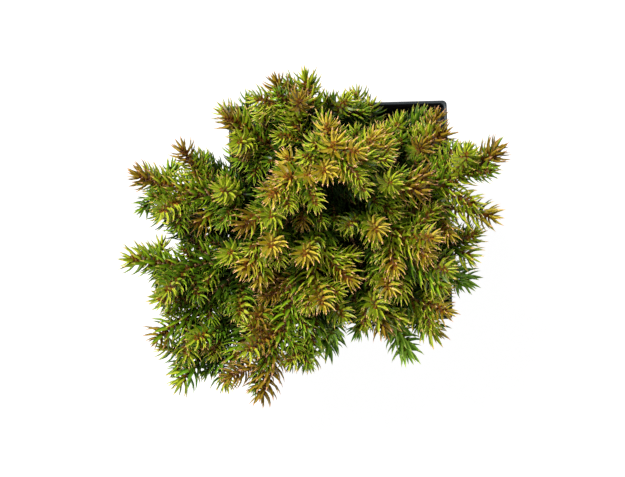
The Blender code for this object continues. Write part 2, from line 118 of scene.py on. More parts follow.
# Limbs, from the lowest up: each leaves the trunk one step above the last. Azimuth, in
# degrees, and reach give the place of its furthest needle from the pot's axis, tip the
# height there, arch how far the limb rises above a straight line, sides the side shoots
# to try on it and turn the angle round it of the first. Sweep, where a row has one, is
# how far the limb bows out sideways, anticlockwise.
Limb = namedtuple("Limb", "azimuth reach tip arch sides turn sweep", defaults=(0.0,))
LOWEST_LIMB = 0.0865
LIMB_STEP = 0.00225
LOW_LIMBS = (
    Limb(263, 0.058, 0.095, 0.034, 4, 100),
    Limb(179, 0.077, 0.109, 0.024, 5, 350),
    Limb(330, 0.061, 0.099, 0.032, 4, 80),
    Limb(47, 0.054, 0.116, 0.018, 4, 120),
    Limb(204, 0.083, 0.106, 0.026, 5, 60),
    Limb(294, 0.066, 0.094, 0.038, 4, 128),
    Limb(225, 0.098, 0.107, 0.028, 6, 280),
)
MIDDLE_LIMBS = (
    Limb(73, 0.047, 0.128, 0.008, 4, 90),
    Limb(158, 0.063, 0.133, 0.008, 5, 350, 0.014),
    Limb(339, 0.058, 0.120, 0.014, 5, 250),
    Limb(232, 0.076, 0.123, 0.016, 5, 90),
    Limb(35, 0.054, 0.135, 0.008, 4, 80),
    Limb(288, 0.053, 0.123, 0.012, 4, 90),
    Limb(213, 0.092, 0.121, 0.018, 5, 270),
    Limb(95, 0.047, 0.136, 0.006, 4, 250),
    Limb(190, 0.088, 0.132, 0.012, 5, 350, 0.026),
    Limb(306, 0.064, 0.104, 0.028, 5, 350),
    Limb(256, 0.064, 0.122, 0.014, 4, 270),
    Limb(140, 0.060, 0.150, 0.004, 5, 350),
    Limb(20, 0.066, 0.152, 0.004, 5, 350, -0.016),
    Limb(245, 0.082, 0.132, 0.010, 6, 270),
    Limb(168, 0.083, 0.145, 0.006, 5, 350, 0.014),
)
TOP_LIMBS = (
    Limb(321, 0.052, 0.138, 0.008, 6, 60),
    Limb(356, 0.062, 0.132, 0.010, 6, 60),
    Limb(250, 0.042, 0.140, 0.004, 6, 60),
    Limb(330, 0.040, 0.150, 0.004, 6, 60),
    Limb(210, 0.047, 0.155, 0.004, 4, 90),
    Limb(59, 0.035, 0.162, 0.004, 4, 270),
    Limb(189, 0.042, 0.163, 0.004, 4, 90),
    Limb(10, 0.033, 0.166, 0.004, 4, 90),
    Limb(116, 0.057, 0.165, 0.004, 5, 270),
    Limb(104, 0.055, 0.160, 0.004, 4, 90),
    Limb(153, 0.027, 0.180, 0.004, 4, 90),
    Limb(60, 0.022, 0.183, 0.004, 4, 90),
)
LEADER = Limb(95, 0.025, 0.195, 0.002, 5, 90)

BOUGH_SHARE = 0.34  # share of a limb's course that is bare bough
BOUGH_POINTS = 5
BOUGH_TAPER = 0.006  # how much thicker a bough is at the trunk, for its length
STEM_RADIUS = 0.0009  # where a mass of foliage begins
TIP_RADIUS = 0.00045  # at the end of any shoot
STEM_POINTS = 4

# Side shoots, set round a mass's stem by the golden angle
GOLDEN_ANGLE = math.radians(137.508)
SIDE_FROM = 0.10  # shares of the stem between which they leave it
SIDE_TO = 0.78
SIDE_SHARE = 0.46  # the longest one's length, as a share of the stem's
SIDE_SHORTEST = 0.010
SIDE_LONGEST = 0.024
SIDE_ANGLE = math.radians(52)
SIDE_LIFT = 0.45  # how far a side shoot turns up along its length
SIDE_RADIUS = 0.000675  # where it leaves the stem
SIDE_TAPER = 0.35  # how much shorter the last side shoot is than the first
SIDE_SPREAD = (0.88, 1.08)  # range of its length, by chance
SIDE_TWIST = 0.2  # and of its angle round the stem, in radians
SIDE_TRIES = (1.0, 0.8, 0.62)  # shares of its length that a crowded shoot is tried at
SHOOT_GAP = 0.0052  # between shoots of two masses
OWN_GAP = 0.0040  # between shoots of one mass
WOOD_GAP = 0.0030  # from a shoot to the trunk, a bough or the pot
GAP_SHARES = (0.3, 0.65, 1.0)  # of each stretch of a shoot, where those are tested
TUFT = 0.0060  # how far the last needles stand past the shoot's end
SEED = 12

# Finer shoots, on every shoot and bough and on the trunk
FINE_STEP = 0.0022  # along a shoot from one try to the next
FINE_LENGTH = 0.0120  # at the foot of what carries it
FINE_SHRINK = 0.45  # how much shorter it is at the far end
FINE_FROM = 0.06  # shares of what carries it between which it leaves
FINE_TO = (0.58, 0.50)  # on a stem and on a side shoot
FINE_SPREAD = (0.75, 1.20)  # range of its length, by chance
FINE_TRIES = (1.0, 0.7)  # shares of it that a crowded one is tried at
FINE_TESTED = 0.4  # share of its outer half where its room is tested
FINE_LIFT = 0.12  # how far it turns up
FINE_GAP = 0.0023  # between a fine shoot and any other
FINE_WOOD_GAP = 0.0018  # and from it to the wood or the pot
FINE_RADIUS = 0.00055
FINE_RISE = 0.35  # one that leaves more steeply is left out
FINE_REACH = 0.0090  # of its needles from the nearest shoot of the solids, in plan
SHORTEST_LINE = 0.0001  # in plan: a shorter one counts as upright
CURVE_POINTS = 9  # on each shoot, once it is smoothed
TIP_GROWTH = 0.0026  # beyond the solids' shoot, under its crowded last needles
NEARLY_UPRIGHT = 0.1  # sine of a curve's angle to the vertical

# A shoot's order: the stem of a mass, its side shoots, the fine shoots on those, and the
# inner ones on boughs and trunk
STEM, SIDE, FINE, INNER = range(4)
Shoot = namedtuple("Shoot", "mass path radii order", defaults=(STEM,))

# Needles: incurved, keeled awls in a spiral, shorter towards the top of the crown
NEEDLE_LENGTHS = (0.0106, 0.0092, 0.0074, 0.0074)  # on shoots of each order
HIGH_NEEDLE = 0.88  # share of that at the crown's top
NEEDLE_LEVELS = (0.105, 0.175)  # heights between which it is reached
YOUNG_NEEDLE = 0.55  # share of its length at the shoot's end
FOOT_NEEDLE = 0.80  # and at its foot
FOOT_STRETCH = 0.004  # of the shoot, over which it grows to the whole
NEEDLE_SPREAD = (0.88, 1.10)  # range of the length, by chance
NEEDLE_SLIM = 0.093  # half its width, for its length
NEEDLE_KEEL = 0.72  # its depth, for its width
NEEDLE_BACK = 0.55  # how far its back stands up, for its keel
NEEDLE_PITCH = 0.043  # along the shoot from one needle to the next, for its length
NEEDLE_CROWD = 0.35  # share of that pitch at the shoot's end
BARE_TIP = 0.0002  # of the shoot, past its last needle
BARE_FOOT = 0.0006
NEEDLE_OPEN = math.radians(56)  # angle to the shoot, well below its end
NEEDLE_SHUT = math.radians(22)  # angle to the shoot at its end
NEEDLES_SHUT = 17  # needles over which the one becomes the other
FIRST_OPEN = 0.3  # of one needle's part of that, which the last one has
NEEDLE_CURL = math.radians(30)  # by which a needle's foot stands out more, and its tip less
YOUNG_CURL = 0.45  # share of that at the shoot's end
TURN_SPREAD = 0.10  # of the turn round the shoot, by chance, in radians
ANGLE_SPREAD = 0.07  # and of the angle to it
NEEDLE_RINGS = (0.0, 0.24, 0.54, 0.81)  # shares of its length at its rings
NEEDLE_WIDTHS = (0.74, 1.0, 0.80, 0.40)  # shares of its width there
NEEDLE_EDGE = math.radians(38)  # angle from which an edge stays sharp
NEEDLE_TESTED = (0.6, 1.0)  # shares of its length where its room is tested
NEEDLE_POT_GAP = 0.0004  # from its middle to the pot and soil
TEST_BLOCK = 2000  # needles tested at once
Needles = namedtuple("Needles", "foot leaving arriving side length behind")

# Base colours of a needle's zones: its foot, partly its own orange-brown and partly painted
# shade by the shoot's axis; the dull and the bright faces round it, painted shade and painted
# light; and its own tan tip. The tints shade and deep are painted shade inside the crown.
ZONES = ("foot", "dull", "bright", "tip")
TINTS = {
    "deep": ((0.012, 0.009, 0.001), (0.006, 0.016, 0.001), (0.018, 0.038, 0.003), (0.026, 0.036, 0.005)),
    "shade": ((0.045, 0.026, 0.002), (0.020, 0.052, 0.002), (0.062, 0.128, 0.005), (0.095, 0.125, 0.010)),
    "fresh": ((0.090, 0.080, 0.005), (0.050, 0.135, 0.004), (0.160, 0.325, 0.018), (0.240, 0.350, 0.036)),
    "spring": ((0.100, 0.110, 0.008), (0.090, 0.200, 0.009), (0.275, 0.450, 0.045), (0.380, 0.500, 0.100)),
    "green": ((0.110, 0.050, 0.004), (0.060, 0.120, 0.003), (0.190, 0.300, 0.010), (0.330, 0.310, 0.042)),
    "lime": ((0.170, 0.070, 0.005), (0.120, 0.165, 0.003), (0.345, 0.390, 0.020), (0.560, 0.390, 0.100)),
    "gold": ((0.210, 0.075, 0.007), (0.205, 0.150, 0.004), (0.470, 0.360, 0.034), (0.720, 0.400, 0.190)),
    "bronze": ((0.110, 0.036, 0.005), (0.105, 0.068, 0.003), (0.265, 0.170, 0.014), (0.470, 0.240, 0.110)),
}

# Which masses have which tints, along their shoots and at their ends
TINTED_MASSES = {
    ("spring", "spring"): "low_1 low_3 low_6",
    ("fresh", "lime"): "low_2 low_7",
    ("green", "lime"): "low_4 low_5 middle_1 middle_2 middle_3 middle_8 middle_9 middle_11 top_1",
    ("green", "bronze"): "middle_4 middle_7",
    ("lime", "lime"): "top_10",
    ("lime", "gold"): "middle_10 top_2 top_3 top_4 top_5 top_6 top_11 top_12 leader",
    ("lime", "bronze"): "middle_5 middle_6 middle_12 middle_13 middle_15 top_7 top_8 top_9",
    ("bronze", "bronze"): "middle_14",
}
MASS_TINTS = {mass: tints for tints, masses in TINTED_MASSES.items() for mass in masses.split()}

# How those change along a shoot, and painted shade inside the crown: needles with little open
# sky over them, old inner needles, inner shoots and most fine shoots take darker tints
YOUNG_REACH = 0.0070  # from a shoot's end, over which the one passes to the other
YOUNG_SURE = 1.3  # how likely the other is at the very end
COVER_CELL = 0.004  # of the grid in plan that holds the crown's height
COVER_HALF = 0.160  # half the width of that grid
COVER_RANGES = (0.004, 0.009, 0.016, 0.026, 0.040)  # at which it is read round a needle
COVER_WAYS = 8  # in which it is read
SHADE_STEPS = (0.20, 0.11, 0.05)  # shares of open sky under which a tint is a step deeper, as painted shade
LIGHT_EDGE = 0.78  # share of a mass's reach beyond which only the first counts, and no old needle's step: the outer needles keep less painted shade
OLD_REACH = 0.022  # from a shoot's end, beyond which an inner needle's tint is a step deeper: partly old needles' own darker green, partly painted shade
SHADE_SPREAD = 0.015  # by which they differ from needle to needle
BRONZE_SHOOTS = 0.40  # share of a bronze mass's shoots, but for its stem, that are bronze
LIVELY = 0.22  # share of fine shoots with the others' tints; the rest are a step deeper, as painted shade inside the crown
# Each tint's next darker one, used for painted shade
DEEPER = {"deep": "deep", "shade": "deep", "fresh": "shade", "spring": "fresh", "green": "shade",
          "lime": "green", "gold": "lime", "bronze": "green"}

# The studio: pale walls that fade into a darker ceiling, a floor and two lights
WALL_LIGHT = 0.80
CEILING_LIGHT = 0.05
WALL_LEVELS = (0.10, 0.42)  # heights on a unit sphere between which they fade
FLOOR_SIZE = 6.0
FLOOR_COLOUR = (0.22, 0.22, 0.22)
FLOOR_GLOW = 0.90
LIGHTS = (  # name, place, size and power in watts
    ("key", (-0.45, 0.45, 1.25), 0.22, 28.0),
    ("fill", (0.15, -0.40, 1.30), 0.60, 6.5),
)
LIGHT_AIM = (0.0, 0.0, 0.12)

# The photograph's frame
IMAGE_WIDTH = 625
PIXEL_AT_RIM = 0.000411  # at the height of the pot's rim
CAMERA_ABOVE_RIM = 0.700
CAMERA_PLACE = (-0.01175, -0.01033)
CAMERA_TURN = -1.57  # degrees
CAMERA_NEAREST = 0.01  # from which it sees
SENSOR = 36.0  # its width, in millimetres


# Growth: the rule of the solids

def pot_half(height):
    """Half the pot's outer width at a height."""
    heights = (0.0, WALL_TOP, BAND_FOOT, POT_HEIGHT)
    halves = (FOOT_HALF, WALL_TOP_HALF, BAND_FOOT_HALF, RIM_HALF)
    return np.interp(height, heights, halves)


def trunk_axis(height):
    """The middle of the trunk at a height."""
    foot = SOIL_TOP + FLARE_HEIGHT
    share = max(0.0, (height - foot) / (TRUNK_TOP - foot))
    sway = Vector((math.sin(2 * math.pi * share), 1 - math.cos(2 * math.pi * share), 0.0))
    return TRUNK_LEAN * share + sway * TRUNK_SWAY + UP * height


def trunk_radius(height):
    """The trunk's radius at a height: an even taper, and the flare at its foot."""
    taper = np.interp(height, (SOIL_TOP, TRUNK_TOP), (TRUNK_FOOT_RADIUS, TRUNK_TOP_RADIUS))
    return float(taper) + FLARE * math.exp((SOIL_TOP - height) / FLARE_HEIGHT)


def trunk_heights():
    """Heights of the trunk's points, close together at its flare."""
    ground = SOIL_TOP + GAP
    flare = [ground + share * FLARE_HEIGHT for share in FLARE_SHARES]
    rest = np.linspace(ground + 2 * FLARE_HEIGHT, TRUNK_TOP, TRUNK_POINTS - len(flare))
    return flare + [float(height) for height in rest]


def limb_course(start, limb, points):
    """Points of a limb from where it starts to the end of its last shoot."""
    turn = math.radians(limb.azimuth)
    tip = Vector((limb.reach * math.cos(turn), limb.reach * math.sin(turn), limb.tip))
    aside = UP.cross(tip - start).normalized()
    control = (start + tip) / 2 + UP * limb.arch + aside * limb.sweep
    end = tip - (tip - control).normalized() * TUFT
    course = []
    for share in points:
        rest = 1 - share
        course.append(start * rest ** 2 + control * (2 * rest * share) + end * share ** 2)
    return course


def course_length(path):
    """Length of a path."""
    return sum((end - start).length for start, end in zip(path, path[1:]))


def segments(shoots):
    """Starts, ends and radii of all the straight stretches of some shoots."""
    starts, ends, radii = [], [], []
    for shoot in shoots:
        starts += shoot.path[:-1]
        ends += shoot.path[1:]
        radii += map(max, zip(shoot.radii, shoot.radii[1:]))
    return np.array(starts), np.array(ends), np.array(radii)


def distances(points, stretches):
    """From each point to the surface of the nearest of some straight stretches."""
    if not len(stretches[2]):
        return np.full(len(points), 1.0)
    starts, ends, radii = stretches
    along = ends - starts
    points = np.array(points)[:, None, :]
    share = ((points - starts) * along).sum(-1) / (along * along).sum(-1)
    foot = starts + np.clip(share, 0.0, 1.0)[..., None] * along
    return (np.linalg.norm(points - foot, axis=-1) - radii).min(axis=1)


def pot_distance(points):
    """How far points are clear of the pot's wall and the soil, below zero inside them."""
    points = np.atleast_2d(np.array(points, float))
    out = np.abs(points[:, :2]).max(axis=1)
    half = pot_half(np.minimum(points[:, 2], POT_HEIGHT))
    above = points[:, 2] - POT_HEIGHT
    beside = np.maximum(out - half, half - POT_WALL - out)
    clear = np.maximum(above, beside)
    return np.where(out < half, np.minimum(clear, points[:, 2] - SOIL_TOP), clear)


def side_shoot(stem, share, turn, length, lift=SIDE_LIFT):
    """The path of a side shoot: out from the stem at an angle, then turning up."""
    place = share * (len(stem.path) - 1)
    index = min(int(place), len(stem.path) - 2)
    start, end = stem.path[index], stem.path[index + 1]
    foot = start.lerp(end, place - index)
    tangent = (end - start).normalized()
    left = UP.cross(tangent).normalized()
    rise = tangent.cross(left)
    outward = rise * math.cos(turn) + left * math.sin(turn)
    leaving = tangent * math.cos(SIDE_ANGLE) + outward * math.sin(SIDE_ANGLE)
    bent = (leaving + UP * lift).normalized()
    middle = foot + leaving * (length / 2)
    return [foot, middle, middle + bent * (length / 2)]


def tuft_end(path):
    """Where the last needles of a shoot end."""
    return path[-1] + (path[-1] - path[-2]).normalized() * TUFT


def has_room(path, mass, shoots, wood):
    """Whether a side shoot keeps clear of the other shoots, the wood and the pot."""
    samples = []
    for start, end in zip(path, path[1:]):
        samples += [start.lerp(end, share) for share in GAP_SHARES]
    outer = samples[1:]
    tuft = tuft_end(path)
    strangers = segments([shoot for shoot in shoots if shoot.mass != mass])
    family = segments([shoot for shoot in shoots if shoot.mass == mass][1:])
    if distances(samples + [tuft], strangers).min() < SHOOT_GAP:
        return False
    if distances(outer, family).min() < OWN_GAP:
        return False
    if distances(outer + [tuft], wood).min() < WOOD_GAP:
        return False
    return pot_distance(outer + [tuft]).min() > WOOD_GAP


def grow_side_shoots(stem, limb, shoots, wood, chance):
    """Adds a stem's side shoots to the shoots, where they have room."""
    stem_length = course_length(stem.path)
    longest = min(max(SIDE_SHARE * stem_length, SIDE_SHORTEST), SIDE_LONGEST)
    for number in range(limb.sides):
        along = number / max(1, limb.sides - 1)
        share = SIDE_FROM + (SIDE_TO - SIDE_FROM) * along
        twist = chance.uniform(-SIDE_TWIST, SIDE_TWIST)
        turn = math.radians(limb.turn) + number * GOLDEN_ANGLE + twist
        length = longest * (1 - SIDE_TAPER * along) * chance.uniform(*SIDE_SPREAD)
        for attempt in SIDE_TRIES:
            path = side_shoot(stem, share, turn, max(SIDE_SHORTEST, length * attempt))
            if has_room(path, stem.mass, shoots, wood):
                radii = np.linspace(SIDE_RADIUS, TIP_RADIUS, len(path))
                shoots.append(Shoot(stem.mass, path, list(radii), SIDE))
                break


def grow():
    """Boughs and shoots of the solids, and the wood that shoots keep clear of."""
    boughs, stems = {}, {}
    height = LOWEST_LIMB
    for tier, limbs in (("low", LOW_LIMBS), ("middle", MIDDLE_LIMBS), ("top", TOP_LIMBS)):
        for number, limb in enumerate(limbs, start=1):
            name, start = f"{tier}_{number}", trunk_axis(height)
            height += LIMB_STEP
            if tier == "top":
                path = limb_course(start, limb, np.linspace(0.0, 1.0, STEM_POINTS + 1))
                stems[name] = (limb, path)
                continue
            path = limb_course(start, limb, np.linspace(0.0, BOUGH_SHARE, BOUGH_POINTS))
            root = STEM_RADIUS + BOUGH_TAPER * limb.reach
            boughs[name] = Shoot(name, path, list(np.linspace(root, STEM_RADIUS, BOUGH_POINTS)))
            path = limb_course(start, limb, np.linspace(BOUGH_SHARE, 1.0, STEM_POINTS))
            path[0] += (path[1] - path[0]).normalized() * GAP
            stems[name] = (limb, path)
    path = limb_course(trunk_axis(TRUNK_TOP), LEADER, np.linspace(0.0, 1.0, STEM_POINTS + 1))
    path[0] += (path[1] - path[0]).normalized() * GAP
    stems["leader"] = (LEADER, path)

    heights = trunk_heights()
    trunk = Shoot("trunk", [trunk_axis(height) for height in heights],
                  [trunk_radius(height) for height in heights])
    wood = segments([trunk] + list(boughs.values()))
    shoots = [Shoot(name, path, list(np.linspace(STEM_RADIUS, TIP_RADIUS, len(path))))
              for name, (limb, path) in stems.items()]
    for number, stem in enumerate(shoots[:]):
        grow_side_shoots(stem, stems[stem.mass][0], shoots, wood, random.Random(SEED + number))
    return trunk, boughs, shoots, wood


# Growth: the finer shoots

def fine_room(path, stretches, plan, wood, highest):
    """Whether a fine shoot stays within the solids' reach and clear of all the rest."""
    tuft = tuft_end(path)
    outer = [path[1].lerp(path[2], FINE_TESTED), path[2], tuft]
    flat = Vector((tuft.x, tuft.y, 0.0))
    if tuft.z > highest or distances([flat], plan).min() > FINE_REACH:
        return False
    if distances(outer, stretches).min() < FINE_GAP:
        return False
    if distances(outer, wood).min() < FINE_WOOD_GAP:
        return False
    return pot_distance(outer).min() >= FINE_WOOD_GAP


def grow_fine_shoots(trunk, boughs, shoots, wood):
    """Finer side shoots on every limb, wherever they have room within the mass's reach."""
    stretches = segments(shoots)
    plan = flattened(stretches)
    highest = max(point.z for shoot in shoots for point in shoot.path)
    fine = []
    for number, carrier in enumerate(shoots + list(boughs.values()) + [trunk]):
        chance = random.Random(SEED * 100 + number)
        mass = "leader" if carrier.mass == "trunk" else carrier.mass
        leafy = number < len(shoots)
        far = FINE_TO[carrier.order] if leafy else 1.0
        tries = max(1, int(course_length(carrier.path) * far / FINE_STEP))
        turn = chance.uniform(0, 2 * math.pi)
        for index in range(tries):
            along = (index + 0.5) / tries
            share = FINE_FROM + (far - FINE_FROM) * along
            turn += GOLDEN_ANGLE
            length = FINE_LENGTH * (1 - FINE_SHRINK * along) * chance.uniform(*FINE_SPREAD)
            if math.cos(turn) > FINE_RISE:
                continue
            for attempt in FINE_TRIES:
                path = side_shoot(carrier, share, turn, length * attempt, FINE_LIFT)
                if fine_room(path, stretches, plan, wood, highest):
                    radii = list(np.linspace(FINE_RADIUS, TIP_RADIUS, len(path)))
                    fine.append(Shoot(mass, path, radii, FINE if leafy else INNER))
                    added = segments(fine[-1:])
                    stretches = tuple(np.concatenate(pair) for pair in zip(stretches, added))
                    break
    return fine


def flattened(stretches):
    """The same stretches seen in plan, as lines at height zero, without the upright ones."""
    starts, ends, radii = stretches
    level = np.array([1.0, 1.0, 0.0])
    upright = np.linalg.norm((ends - starts) * level, axis=1) < SHORTEST_LINE
    return (starts * level)[~upright], (ends * level)[~upright], radii[~upright] * 0


def smoothed(shoot, growth):
    """A shoot's path as a smooth curve of more points, with a radius at each."""
    points = np.array(shoot.path)
    end = points[-1] - points[-2]
    points[-1] += end * (growth / np.linalg.norm(end))
    count = len(points)
    at = np.linspace(0.0, count - 1.0, CURVE_POINTS)
    if count == 3:
        share = at[:, None] / 2
        rest = 1 - share
        control = 2 * points[1] - (points[0] + points[2]) / 2
        curve = points[0] * rest ** 2 + control * 2 * share * rest + points[2] * share ** 2
    else:
        padded = np.vstack([2 * points[0] - points[1], points, 2 * points[-1] - points[-2]])
        index = np.minimum(at.astype(int), count - 2)
        part = (at - index)[:, None]
        before, start, stop, after = (padded[index + shift] for shift in range(4))
        curve = (2 * start + (stop - before) * part
                 + (2 * before - 5 * start + 4 * stop - after) * part ** 2
                 + (3 * start - before - 3 * stop + after) * part ** 3) / 2
    return curve, np.interp(at, range(count), shoot.radii)


# Meshes

def add_object(name, data):
    """A new object in the scene."""
    thing = bpy.data.objects.new(name, data)
    bpy.context.scene.collection.objects.link(thing)
    return thing


def object_from_arrays(name, points, faces, edge_angle, materials, slots=None):
    """An object from points and from blocks of faces and of their material slots."""
    mesh = bpy.data.meshes.new(name)
    totals = np.concatenate([np.full(len(block), block.shape[1]) for block in faces])
    corners = np.concatenate([block.ravel() for block in faces])
    starts = np.concatenate([[0], np.cumsum(totals)[:-1]])
    mesh.vertices.add(len(points))
    mesh.vertices.foreach_set("co", np.ascontiguousarray(points, np.float32).ravel())
    mesh.loops.add(len(corners))
    mesh.loops.foreach_set("vertex_index", corners.astype(np.int32))
    mesh.polygons.add(len(totals))
    mesh.polygons.foreach_set("loop_start", starts.astype(np.int32))
    mesh.polygons.foreach_set("loop_total", totals.astype(np.int32))
    if slots is not None:
        mesh.polygons.foreach_set("material_index", np.concatenate(slots).astype(np.int32))
    mesh.update(calc_edges=True)
    mesh.validate()
    mesh.shade_smooth()
    mesh.set_sharp_from_angle(angle=edge_angle)
    for material in materials:
        mesh.materials.append(material)
    return add_object(name, mesh)


def between(at, places, rows):
    """Rows of numbers, known at some places, at other places between them."""
    return np.stack([np.interp(at, places, column) for column in rows.T], axis=1)


def unit(rows):
    """Vectors with their lengths made one."""
    return rows / np.linalg.norm(rows, axis=1)[:, None]


def turned(first, second, turn):
    """Vectors turned from the first ones towards the second ones."""
    return first * np.cos(turn)[:, None] + second * np.sin(turn)[:, None]


def frames_along(curve):
    """Tangents and two directions across them at each point of a curve."""
    tangents = unit(np.gradient(curve, axis=0))
    across = np.cross(tangents[0], (0.0, 0.0, 1.0))
    if np.linalg.norm(across) < NEARLY_UPRIGHT:
        across = np.cross(tangents[0], (1.0, 0.0, 0.0))
    first = unit(across - tangents * (tangents @ across)[:, None])
    return tangents, first, np.cross(tangents, first)


def tube_faces(rings, sides):
    """Side faces and end faces of a tube."""
    rows = np.arange(rings - 1)[:, None] * sides
    here = np.arange(sides)
    there = (here + 1) % sides
    quads = np.stack([rows + here, rows + there, rows + sides + there, rows + sides + here], axis=-1)
    return quads.reshape(-1, 4), np.stack([here[::-1], (rings - 1) * sides + here])


def tube_arrays(curve, radii, sides):
    """Points and faces of a tube, with a radius for each of its rings or corners."""
    first, second = frames_along(curve)[1:]
    turns = (np.arange(sides) * 2 * math.pi / sides)[None, :, None]
    ring = np.cos(turns) * first[:, None] + np.sin(turns) * second[:, None]
    points = curve[:, None] + ring * np.reshape(radii, (len(curve), -1, 1))
    return points.reshape(-1, 3), *tube_faces(len(curve), sides)


# Needles

def shoot_needles(curve, size, chance):
    """The needles of one shoot, from its end to its foot."""
    steps = np.linalg.norm(np.diff(curve, axis=0), axis=1)
    places = np.concatenate([[0.0], np.cumsum(steps)])
    total = places[-1]
    size *= float(np.interp(curve[-1][2], NEEDLE_LEVELS, (1.0, HIGH_NEEDLE)))
    number = np.arange(int(total / (NEEDLE_PITCH * NEEDLE_CROWD * size)))
    crowding = NEEDLE_CROWD + (1 - NEEDLE_CROWD) * np.minimum(1.0, number / NEEDLES_SHUT)
    at = total - BARE_TIP - np.cumsum(crowding) * NEEDLE_PITCH * size
    number = number[at > BARE_FOOT]
    at = at[at > BARE_FOOT]
    count = len(at)
    tangents, first, second = frames_along(curve)
    tangent = between(at, places, tangents)

    turn = chance.uniform(0, 2 * math.pi) + number * GOLDEN_ANGLE + chance.normal(0, TURN_SPREAD, count)
    outward = turned(between(at, places, first), between(at, places, second), turn)
    openness = np.minimum(1.0, (number + FIRST_OPEN) / NEEDLES_SHUT)
    openness = openness * (2 - openness)
    angle = NEEDLE_SHUT + (NEEDLE_OPEN - NEEDLE_SHUT) * openness + chance.normal(0, ANGLE_SPREAD, count)
    young = YOUNG_NEEDLE + (1 - YOUNG_NEEDLE) * openness
    old = FOOT_NEEDLE + (1 - FOOT_NEEDLE) * np.minimum(1.0, at / FOOT_STRETCH)
    length = size * young * old * chance.uniform(*NEEDLE_SPREAD, count)
    curl = NEEDLE_CURL * (YOUNG_CURL + (1 - YOUNG_CURL) * openness)

    leaving = turned(tangent, outward, angle + curl)
    arriving = turned(tangent, outward, angle - curl)
    side = unit(np.cross(tangent, outward))
    return Needles(between(at, places, curve), leaving, arriving, side, length, total - at)


def needle_points(needles, share):
    """The points at a share of the needles' lengths, on their curves."""
    bend = needles.leaving * share + (needles.arriving - needles.leaving) * share ** 2 / 2
    return needles.foot + bend * needles.length[:, None]


def needles_clear(needles, wood):
    """Which needles stay out of the pot, the soil and the wood."""
    clear = np.ones(len(needles.foot), bool)
    for share in NEEDLE_TESTED:
        points = needle_points(needles, share)
        clear &= pot_distance(points) > NEEDLE_POT_GAP
        for start in range(0, len(points), TEST_BLOCK):
            block = slice(start, start + TEST_BLOCK)
            clear[block] &= distances(points[block], wood) > GAP
    return clear


def make_needles(name, needles, tints, palette):
    """One piece of many needles: rings of four corners and a point, with painted light and shade on their
    faces.
    """
    rings = len(NEEDLE_RINGS)
    points = np.zeros((len(tints), rings * 4 + 1, 3))
    for index, (share, width) in enumerate(zip(NEEDLE_RINGS, NEEDLE_WIDTHS)):
        middle = needle_points(needles, share)
        direction = needles.leaving + (needles.arriving - needles.leaving) * share
        back = unit(np.cross(needles.side, direction))
        half = NEEDLE_SLIM * width * needles.length[:, None]
        keel = half * NEEDLE_KEEL
        corners = (needles.side * half, back * keel * NEEDLE_BACK, -needles.side * half, -back * keel)
        for corner, offset in enumerate(corners):
            points[:, index * 4 + corner] = middle + offset
    points[:, -1] = needle_points(needles, 1.0)

    first = np.arange(len(tints))[:, None] * (rings * 4 + 1)
    slot = tints * len(ZONES)
    quads, quad_slots = [], []
    for index in range(rings - 1):
        for corner in range(4):
            low, next_low = index * 4 + corner, index * 4 + (corner + 1) % 4
            quads.append(first + np.array([low, next_low, next_low + 4, low + 4]))
            # Painted light and shade: the faces round a needle take the dull and the bright colour in
            # turn; those of its foot take a colour that is partly its own, partly painted shade.
            zone = "foot" if index == 0 else ("dull", "bright")[corner % 2]
            quad_slots.append(slot + ZONES.index(zone))
    quads.append(first + np.array([3, 2, 1, 0]))
    quad_slots.append(slot + ZONES.index("foot"))
    last = (rings - 1) * 4
    triangles = [first + np.array([last + corner, last + (corner + 1) % 4, rings * 4])
                 for corner in range(4)]
    faces = [np.concatenate(quads), np.concatenate(triangles)]
    slots = [np.concatenate(quad_slots), np.tile(slot + ZONES.index("tip"), 4)]
    return object_from_arrays(name, points.reshape(-1, 3), faces, NEEDLE_EDGE, palette, slots)


def crown_cover(shoots):
    """The height of the highest shoot in each cell of a grid in plan, or in one beside it."""
    count = int(2 * COVER_HALF / COVER_CELL)
    tops = np.zeros((count + 2, count + 2))
    for shoot in shoots:
        curve = smoothed(shoot, TIP_GROWTH)[0]
        cells = ((curve[:, :2] + COVER_HALF) / COVER_CELL).astype(int) + 1
        np.maximum.at(tops, (cells[:, 0], cells[:, 1]), curve[:, 2])
    return np.max([tops[x:x + count, y:y + count] for x in range(3) for y in range(3)], axis=0)


def open_sky(points, cover):
    """The share of the sky that the crown leaves open over each point."""
    shares = np.zeros(len(points))
    for way in range(COVER_WAYS):
        turn = way * 2 * math.pi / COVER_WAYS
        slope = np.zeros(len(points))
        for reach in COVER_RANGES:
            spot = points[:, :2] + np.array([math.cos(turn), math.sin(turn)]) * reach
            cells = ((spot + COVER_HALF) / COVER_CELL).astype(int)
            rise = cover[cells[:, 0], cells[:, 1]] - points[:, 2]
            slope = np.maximum(slope, rise / (reach + COVER_CELL))
        shares += 1 - slope / np.hypot(slope, 1)
    return shares / COVER_WAYS


